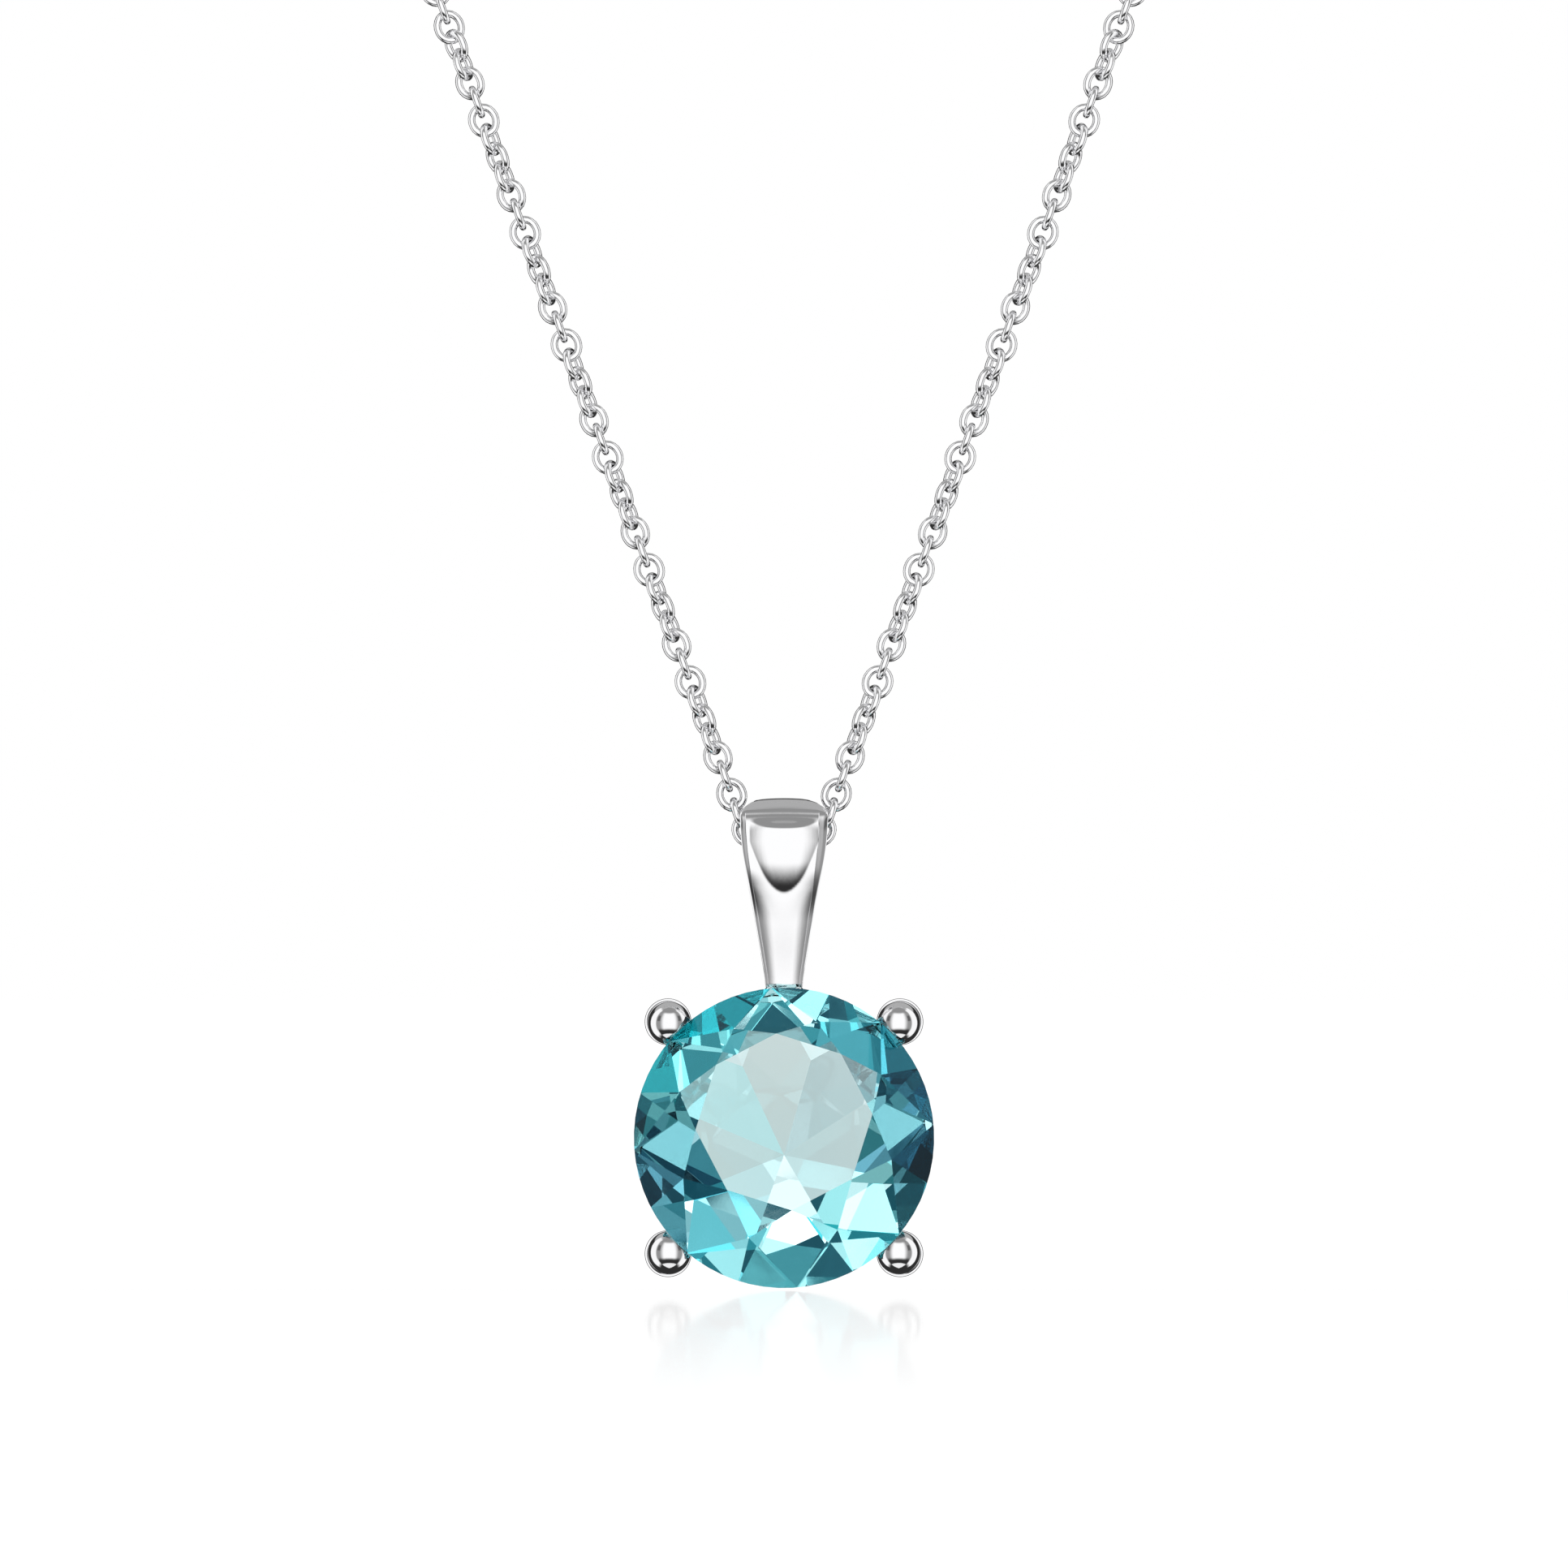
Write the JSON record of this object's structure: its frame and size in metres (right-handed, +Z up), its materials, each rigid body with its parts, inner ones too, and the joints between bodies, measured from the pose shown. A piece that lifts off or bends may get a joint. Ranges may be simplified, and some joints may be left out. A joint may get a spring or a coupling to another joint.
{
  "type": "pendant necklace",
  "caption": "Pendant necklace: a round faceted stone in a prong basket, hung by a tapered bail on a fine cable chain with a spring-ring clasp.",
  "frame": {"origin": "centre of the clasp ring, at the back of the loop, where the necklace rests on the nape", "axes": "+X to the right as seen from the front, +Y from the pendant back to the nape, +Z up"},
  "size_m": [0.0854, 0.0881, 0.1629],
  "materials": {
    "stone": "polished, faceted, pale blue-green",
    "silver": "polished white metal",
    "chain_silver": "polished white metal",
    "spring_steel": "drawn wire"
  },
  "bodies": {
    "neck_chain": {"chain_shoulder_left": "chain_silver", "chain_shoulder_right": "chain_silver", "chain_side_left": "chain_silver", "chain_side_right": "chain_silver", "chain_nape_left": "chain_silver", "chain_nape_right": "chain_silver", "chain_link_end_left": "chain_silver", "chain_link_end_right": "chain_silver", "clasp_body": "silver", "clasp_spring": "spring_steel", "clasp_eye": "silver", "clasp_jump_ring": "silver", "end_ring": "silver", "end_jump_ring": "silver"},
    "clasp_bolt": {"clasp_bolt": "silver"},
    "upper_drop": {"chain_upper_left": "chain_silver", "chain_upper_right": "chain_silver"},
    "middle_drop": {"chain_middle_left": "chain_silver", "chain_middle_right": "chain_silver"},
    "lower_drop": {"chain_link_middle": "chain_silver", "chain_link_left_1": "chain_silver", "chain_link_left_2": "chain_silver", "chain_link_left_3": "chain_silver", "chain_link_left_4": "chain_silver", "chain_link_left_5": "chain_silver", "chain_link_left_6": "chain_silver", "chain_link_right_1": "chain_silver", "chain_link_right_2": "chain_silver", "chain_link_right_3": "chain_silver", "chain_link_right_4": "chain_silver", "chain_link_right_5": "chain_silver", "chain_link_right_6": "chain_silver", "chain_lower_left": "chain_silver", "chain_lower_right": "chain_silver"},
    "bail": {"bail": "silver"},
    "setting": {"gem": "stone", "prong_upper_left": "silver", "prong_upper_right": "silver", "prong_lower_left": "silver", "prong_lower_right": "silver", "gallery_rail": "silver", "base_rail": "silver", "setting_loop": "silver"}
  },
  "joints": [
    {"name": "upper_drop_swing", "type": "hinge", "parent": "neck_chain", "child": "upper_drop", "pos_m": [0, -0.084, -0.0601], "axis": [1, 0, 0], "range_deg": [-60, 60]},
    {"name": "middle_drop_swing", "type": "hinge", "parent": "upper_drop", "child": "middle_drop", "pos_m": [0, -0.084, -0.08868], "axis": [1, 0, 0], "range_deg": [-60, 60]},
    {"name": "lower_drop_swing", "type": "hinge", "parent": "middle_drop", "child": "lower_drop", "pos_m": [0, -0.084, -0.11664], "axis": [1, 0, 0], "range_deg": [-60, 60]},
    {"name": "bail_swing", "type": "hinge", "parent": "lower_drop", "child": "bail", "pos_m": [0, -0.084, -0.14466], "axis": [1, 0, 0], "range_deg": [-30, 90]},
    {"name": "setting_swing", "type": "hinge", "parent": "bail", "child": "setting", "pos_m": [0, -0.084, -0.14941], "axis": [1, 0, 0], "range_deg": [-25, 60]},
    {"name": "clasp_bolt_slide", "type": "hinge", "parent": "neck_chain", "child": "clasp_bolt", "pos_m": [0, 0, 0], "axis": [0, -1, 0], "range_deg": [0, 46], "stiffness_Nm_per_rad": 0.00002, "springref_deg": -20.05, "deforming": ["clasp_spring"]}
  ]
}
